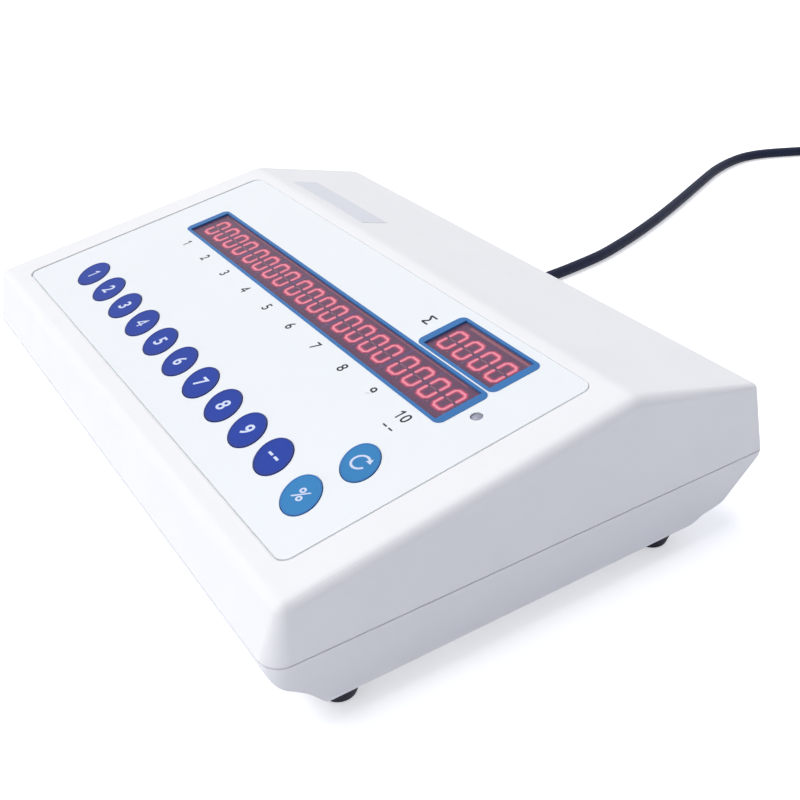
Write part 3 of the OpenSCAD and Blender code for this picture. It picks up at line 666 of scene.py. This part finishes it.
DIGIT_PITCH = 10.16
DIGIT_GROUP = 4
DIGIT_CROWD = 0.3
DIGIT_W = 6.9
DIGIT_H = 12.3
DIGIT_LIFT = 0.12
STROKE = 1.1
GLOW = 0.95

# the digit's cut corner and its half gap at the waist, and how both change with the inset
CORNER = 1.5
CORNER_LOSS = 0.7
WAIST = 0.42
WAIST_GAIN = 0.45

MIDDLE_REACH = 1.9
MIDDLE_W = STROKE * 0.8
POINT_START = 4.1
POINT_END = 4.9
POINT_DROP = 6.0
POINT_W = 0.8
UNLIT_T = 0.08

SEAM_SHIFT = 0.1
SEAM_WIDTHS = (0.4, 0.9)
SEAM_T = 0.1

BAND_X = 3.4
BAND_Y = 1.4
LIP_T = 0.4
LIP_GAP = 0.01

# long side, start and end measured from the window's ends, inset from that side, width
STRIPS = {"long": [("far", 6.0, 8.0, 0.5, 0.5), ("near", 130.0, 0.4, 0.5, 0.6)],
          "sum": [("far", 4.0, 0.4, 0.9, 1.3)]}
STRIP_UNDER = 0.07
STRIP_GAP = 0.01


def arch(centre, up):
    """Half of a zero: three joined strokes, as loops from the outer glow to the inner one."""
    x, y = centre
    loops = []
    for inset, level in ((-GLOW, 0.0), (0.0, 0.5), (STROKE / 2, 1.0), (STROKE, 0.5),
                         (STROKE + GLOW, 0.0)):
        w = DIGIT_W / 2 - inset
        h = DIGIT_H / 2 - inset
        corner = CORNER - CORNER_LOSS * inset
        foot = WAIST + abs(inset - STROKE / 2) * WAIST_GAIN
        points = [(-w, foot), (-w, h - corner), (-w + corner, h), (w - corner, h),
                  (w, h - corner), (w, foot)]
        loops.append(([(x + px, y + up * py) for px, py in points], level))
    return loops


def digit_mesh(name, centres, height):
    """Open strips with a stroke attribute that is 1 in the middle and 0 where the glow ends."""
    vertices, faces, levels = [], [], []
    for centre in centres:
        for up in (-1, 1):
            loops = arch(centre, up)
            count = len(loops[0][0])
            base = len(vertices)
            for points, level in loops:
                vertices += [(px * MM, py * MM, height * MM) for px, py in points]
                levels += [level] * count
            for row in range(len(loops) - 1):
                for i in range(count - 1):
                    a = base + row * count + i
                    quad = (a, a + 1, a + 1 + count, a + count)
                    faces.append(quad[::-1] if up > 0 else quad)
    mesh = bpy.data.meshes.new(name)
    mesh.from_pydata(vertices, [], faces)
    attribute = mesh.attributes.new("stroke", "FLOAT", "POINT")
    attribute.data.foreach_set("value", levels)
    mesh.transform(PANEL)
    return mesh


def digit_centres(row):
    """Two digits to a module, drawn a little together within each group."""
    centres = []
    for node in ROWS[row]:
        middle = panel_centre(node)
        for side in (-1, 1):
            crowd = DIGIT_CROWD * ((DIGIT_GROUP - 1) / 2 - len(centres) % DIGIT_GROUP)
            centres.append((middle.x + side * DIGIT_PITCH / 2 + crowd, middle.y - ROW_DROP[row]))
    return centres


def unlit_marks(row, centres):
    """Middle segment and decimal point of each digit, which are off, drawn with a faint painted
    glow.
    """
    bars = []
    for x, y in centres:
        bars.append(bar((x - MIDDLE_REACH, y), (x + MIDDLE_REACH, y), MIDDLE_W))
        low = y - POINT_DROP
        bars.append(bar((x + POINT_START, low), (x + POINT_END, low), POINT_W))
    mesh = prisms("unlit", bars, MODULE_TOP, MODULE_TOP + UNLIT_T)
    add_piece(f"unlit_{row}", mesh, "dim_segment")


def window_box(row):
    """Opening of the printed band round a window."""
    low, high = panel_box(f"frame_{row}")
    return low.x + BAND_X, low.y + BAND_Y, high.x - BAND_X, high.y - BAND_Y


def window_lip(row):
    """Thin wall that closes the band's inner edge down to the film."""
    left, near, right, far = window_box(row)
    inner = [(left, near), (right, near), (right, far), (left, far)]
    outer = [(left - LIP_T, near - LIP_T), (right + LIP_T, near - LIP_T),
             (right + LIP_T, far + LIP_T), (left - LIP_T, far + LIP_T)]
    mesh = prisms("lip", ring(inner, outer), FILM_TOP + LIP_GAP, OVERLAY_TOP - LIP_GAP)
    add_piece(f"lip_{row}", mesh, "frame_blue")


def window_strips(row):
    """Bright strips for the module edges along the long sides of a window, just under the film,
    with a painted glow.
    """
    left, near, right, far = window_box(row)
    strips = []
    for side, start, end, inset, width in STRIPS[row]:
        y = far - inset if side == "far" else near + inset
        strips.append(bar((left + start, y), (right - end, y), width))
    mesh = prisms("strips", strips, FILM_UNDER - STRIP_UNDER, FILM_UNDER - STRIP_GAP)
    add_piece(f"strips_{row}", mesh, "edge_strip")


def module_seams(row):
    """Blue lines where two modules meet, narrow and wide in turn, with a painted glow."""
    modules = ROWS[row]
    low, high = panel_box(modules[0])
    seams = []
    for i, node in enumerate(modules[:-1]):
        x = panel_box(node)[1].x + SEAM_SHIFT
        seams.append(bar((x, low.y), (x, high.y), SEAM_WIDTHS[i % 2]))
    mesh = prisms("seams", seams, MODULE_TOP, MODULE_TOP + SEAM_T)
    add_piece(f"seams_{row}", mesh, "seam")


def displays():
    for row in ROWS:
        centres = digit_centres(row)
        mesh = digit_mesh("digits", centres, MODULE_TOP + DIGIT_LIFT)
        add_piece(f"digits_{row}", mesh, "lit_digits")
        unlit_marks(row, centres)
        window_lip(row)
        window_strips(row)
        module_seams(row)


# ---------- bare plate on the roof ----------

PLATE_X = (-113.5, -46.0)
PLATE_ALONG = (6.8, 20.8)
PLATE_T = 0.15


def label_plate():
    outline = [(PLATE_X[0], PLATE_ALONG[0]), (PLATE_X[1], PLATE_ALONG[0]),
               (PLATE_X[1], PLATE_ALONG[1]), (PLATE_X[0], PLATE_ALONG[1])]
    add_piece("label_plate", prisms("label_plate", [outline], 0.0, PLATE_T, ROOF), "label_grey")


# ---------- mains lead ----------

LEAD_LIFT = 0.1
LEAD_LOW = LEAD_D / 2 + LEAD_LIFT
LEAD_HEAD = 63.0
LEAD_STEPS = 6
BEVEL_STEPS = 6
RELIEF_DIR = Vector((0, cosd(ENTRY_TIP), -sind(ENTRY_TIP)))
RELIEF_END = ENTRY + RELIEF_L * RELIEF_DIR
RELIEF_AHEAD = 7
LEAD_OUT = Vector((cosd(LEAD_HEAD), sind(LEAD_HEAD), 0))
LEAD_END = Vector((-105, 545, LEAD_LOW))
FALLING = [(-71, 138, 12.6), (-71.5, 148, 9), (-72, 158, 5.8), (-72.5, 169, 3.7)]
LYING = [(-73.5, 183), (-75, 200), (-79, 227), (-85, 249), (-93, 273), (-104, 302), (-118, 335),
         (-134, 371), (-145, 397), (-151, 418), (-153, 436), (-150, 453), (-142, 472), (-131, 494),
         (-118, 519.5)]

# the coil runs in, climbs one layer round COIL_MID and leaves outwards after COIL_ALL degrees
COIL_IN = 26.0
COIL_GAP = 0.6
COIL_STEP = LEAD_D + COIL_GAP
COIL_MID = 900.0
COIL_CLIMB = 180
COIL_ALL = 1800.0
COIL_LEAVE = 140.0
COIL_FLARE = 3
COIL_TURN = 5
PLUG_LOW = 8.6
PLUG_STUB = 2


def curve_point(a, b, c, d, t):
    """Point between b and c on the smooth curve through a, b, c and d."""
    return 0.5 * (2 * b + (c - a) * t + (2 * a - 5 * b + 4 * c - d) * t * t
                  + (3 * b - a - 3 * c + d) * t * t * t)


def free_points():
    route = [RELIEF_END, RELIEF_END + RELIEF_AHEAD * RELIEF_DIR] + [Vector(p) for p in FALLING]
    route += [Vector((x, y, LEAD_LOW)) for x, y in LYING] + [LEAD_END]
    last = len(route) - 1
    points = []
    for i in range(last):
        around = [route[max(i - 1, 0)], route[i], route[i + 1], route[min(i + 2, last)]]
        points += [curve_point(*around, k / LEAD_STEPS) for k in range(LEAD_STEPS)]
    return points + [LEAD_END]


def ease(t):
    """Smooth step from 0 to 1."""
    t = max(0.0, min(1.0, t))
    return t * t * (3 - 2 * t)


def coil_point(centre, angle):
    radius = COIL_IN + COIL_STEP * abs(angle - COIL_MID) / 360
    radius += COIL_FLARE * COIL_STEP * max(0.0, angle - COIL_ALL) / 360
    height = LEAD_LOW + COIL_STEP * ease((angle - COIL_MID + COIL_CLIMB / 2) / COIL_CLIMB)
    height += (PLUG_LOW - LEAD_LOW - COIL_STEP) * ease((angle - COIL_ALL) / COIL_LEAVE)
    turn = LEAD_HEAD + 90 - angle
    return Vector((centre.x + radius * cosd(turn), centre.y + radius * sind(turn), height))


def coil_points():
    outside = COIL_IN + COIL_STEP * COIL_MID / 360
    centre = LEAD_END + LEAD_D * LEAD_OUT + outside * Vector((sind(LEAD_HEAD), -cosd(LEAD_HEAD), 0))
    steps = int((COIL_ALL + COIL_LEAVE) / COIL_TURN)
    points = [coil_point(centre, i * COIL_TURN) for i in range(steps + 1)]
    leave = LEAD_HEAD - COIL_LEAVE
    end = points[-1].copy()
    end.z = PLUG_LOW
    return points + [end + (LEAD_D + PLUG_STUB) * Vector((cosd(leave), sind(leave), 0))]


def mains_lead():
    points = free_points() + coil_points()
    curve = bpy.data.curves.new("mains_lead", "CURVE")
    curve.dimensions = "3D"
    curve.bevel_depth = LEAD_D / 2 * MM
    curve.bevel_resolution = BEVEL_STEPS
    curve.use_fill_caps = True
    spline = curve.splines.new("POLY")
    spline.points.add(len(points) - 1)
    for target, point in zip(spline.points, points):
        target.co = (*(MM * point), 1)
    spline.use_smooth = True
    lead = bpy.data.objects.new("mains_lead", curve)
    bpy.context.scene.collection.objects.link(lead)
    curve.materials.append(FINISH["lead_black"])
    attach(lead, "case")
    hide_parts("lead", "lead_coil")


# ---------- camera, light and floor ----------

CAMERA_AT = (0.35478, -0.19167, 0.26383)
CAMERA_TURN = (58.694, 0.96, 57.04)
LENS = 47.954
SENSOR_W = 36

SKY_LEVEL = 0.36
SKY_COLOUR = (0.82, 0.87, 1.04, 1)
WHITE = (1, 1, 1, 1)
FLOOR_REACH = 6.0
FLOOR_GLOW = 0.5


def camera():
    data = bpy.data.cameras.new("camera")
    data.lens = LENS
    data.sensor_width = SENSOR_W
    data.clip_start = 0.01
    seen = bpy.data.objects.new("camera", data)
    seen.location = CAMERA_AT
    seen.rotation_euler = [math.radians(a) for a in CAMERA_TURN]
    bpy.context.scene.collection.objects.link(seen)
    bpy.context.scene.camera = seen


def sun(name, towards, strength, spread, colour=(1, 1, 1)):
    """Soft lamp that shines along that direction."""
    data = bpy.data.lights.new(name, "SUN")
    data.energy = strength
    data.color = colour
    data.angle = math.radians(spread)
    lamp = bpy.data.objects.new(name, data)
    lamp.rotation_euler = Vector(towards).to_track_quat("-Z", "Y").to_euler()
    bpy.context.scene.collection.objects.link(lamp)


def world():
    """Even pale blue light; camera, transmitted and glossy rays see plain white."""
    made = bpy.data.worlds.new("world")
    bpy.context.scene.world = made
    made.use_nodes = True
    nodes, links = made.node_tree.nodes, made.node_tree.links
    background = nodes["Background"]
    background.inputs["Color"].default_value = SKY_COLOUR
    background.inputs["Strength"].default_value = SKY_LEVEL
    white = nodes.new("ShaderNodeBackground")
    white.inputs["Color"].default_value = WHITE
    path = nodes.new("ShaderNodeLightPath")
    direct = nodes.new("ShaderNodeMath")
    direct.operation = "MAXIMUM"
    links.new(path.outputs["Is Camera Ray"], direct.inputs[0])
    links.new(path.outputs["Is Transmission Ray"], direct.inputs[1])
    plain = nodes.new("ShaderNodeMath")
    plain.operation = "MAXIMUM"
    links.new(direct.outputs[0], plain.inputs[0])
    links.new(path.outputs["Is Glossy Ray"], plain.inputs[1])
    mix = nodes.new("ShaderNodeMixShader")
    links.new(plain.outputs[0], mix.inputs["Fac"])
    links.new(background.outputs[0], mix.inputs[1])
    links.new(white.outputs[0], mix.inputs[2])
    links.new(mix.outputs[0], nodes["World Output"].inputs["Surface"])


def floor():
    """Pale floor that keeps the shadow and glows for camera and glossy rays alone."""
    mesh = bpy.data.meshes.new("floor")
    reach = FLOOR_REACH
    corners = [(-reach, -reach, 0), (reach, -reach, 0), (reach, reach, 0), (-reach, reach, 0)]
    mesh.from_pydata(corners, [], [(0, 1, 2, 3)])
    plane = bpy.data.objects.new("floor", mesh)
    bpy.context.scene.collection.objects.link(plane)
    surface = Surface("floor").mottle(tone(246, 247, 249), spread=0.003, scale=2.0)
    surface.set(Roughness=0.9, Specular_IOR_Level=0.1, Emission_Color=WHITE)
    path = surface.node("ShaderNodeLightPath")
    either = surface.node("ShaderNodeMath", operation="MAXIMUM")
    surface.link(path.outputs["Is Camera Ray"], either.inputs[0])
    surface.link(path.outputs["Is Glossy Ray"], either.inputs[1])
    power = surface.node("ShaderNodeMath", operation="MULTIPLY")
    power.inputs[1].default_value = FLOOR_GLOW
    surface.link(either.outputs[0], power.inputs[0])
    surface.link(power.outputs[0], surface.shader.inputs["Emission Strength"])
    mesh.materials.append(surface.material)


def main():
    bpy.context.scene.view_settings.view_transform = "Standard"
    camera()
    mains_lead()
    dress_cad_nodes()
    channel_numbers()
    sum_sign()
    key_marks()
    displays()
    label_plate()
    world()
    sun("key_light", towards=(0.3, 0.2, -0.93), strength=2.05, spread=60,
        colour=(1.0, 0.98, 0.96))
    sun("front_light", towards=(0.15, 0.985, -0.05), strength=1.0, spread=30)
    floor()


main()
